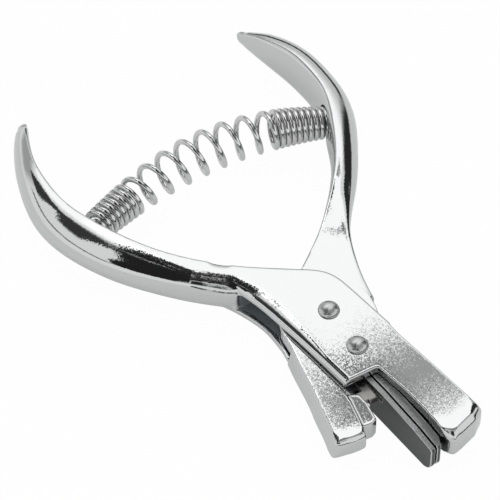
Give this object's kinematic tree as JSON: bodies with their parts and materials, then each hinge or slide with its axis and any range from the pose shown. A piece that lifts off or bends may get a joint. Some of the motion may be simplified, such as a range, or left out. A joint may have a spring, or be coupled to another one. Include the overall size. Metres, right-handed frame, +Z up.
{
  "type": "pattern notcher",
  "caption": "Chromed hand notcher: plier handles on a pivot rivet, a long return spring between the grips, a small square punch in one jaw and twin slotted die plates in the other.",
  "frame": {"origin": "middle of the footprint, on the surface that the tool lies on", "axes": "+Z up through the flat faces of the head, square to them and along the pivot; +Y from the jaws to the grips; +X from the left grip, which carries the die jaw, to the right grip, which carries the punch jaw"},
  "size_m": [0.092, 0.1462, 0.0152],
  "materials": {
    "chrome_plate": "bright chrome plate with a fine orange-peel grain",
    "nickel_rivet": "plain nickelled steel, smooth domed heads",
    "blackened_plate": "dark grey blackened steel with bright ground edges",
    "tool_steel": "ground hardened steel, faintly brown",
    "spring_steel": "bright drawn spring wire"
  },
  "bodies": {
    "die_side": {"die_handle": "chrome_plate", "pivot_rivet": "nickel_rivet", "die_rivet": "nickel_rivet", "stripper_plate": "blackened_plate", "die_plate": "blackened_plate", "paper_stop": "blackened_plate", "plate_rivet_1": "nickel_rivet", "plate_rivet_2": "nickel_rivet", "return_spring": "spring_steel"},
    "punch_side": {"punch_handle": "chrome_plate", "punch_blade": "tool_steel"}
  },
  "joints": [
    {"name": "squeeze", "type": "hinge", "parent": "die_side", "child": "punch_side", "pos_m": [0.00057, -0.02542, 0.0086], "axis": [0, 0, 1], "range_deg": [0, 7.5], "stiffness_Nm_per_rad": 4, "springref_deg": -11.46, "deforming": ["return_spring"]}
  ]
}
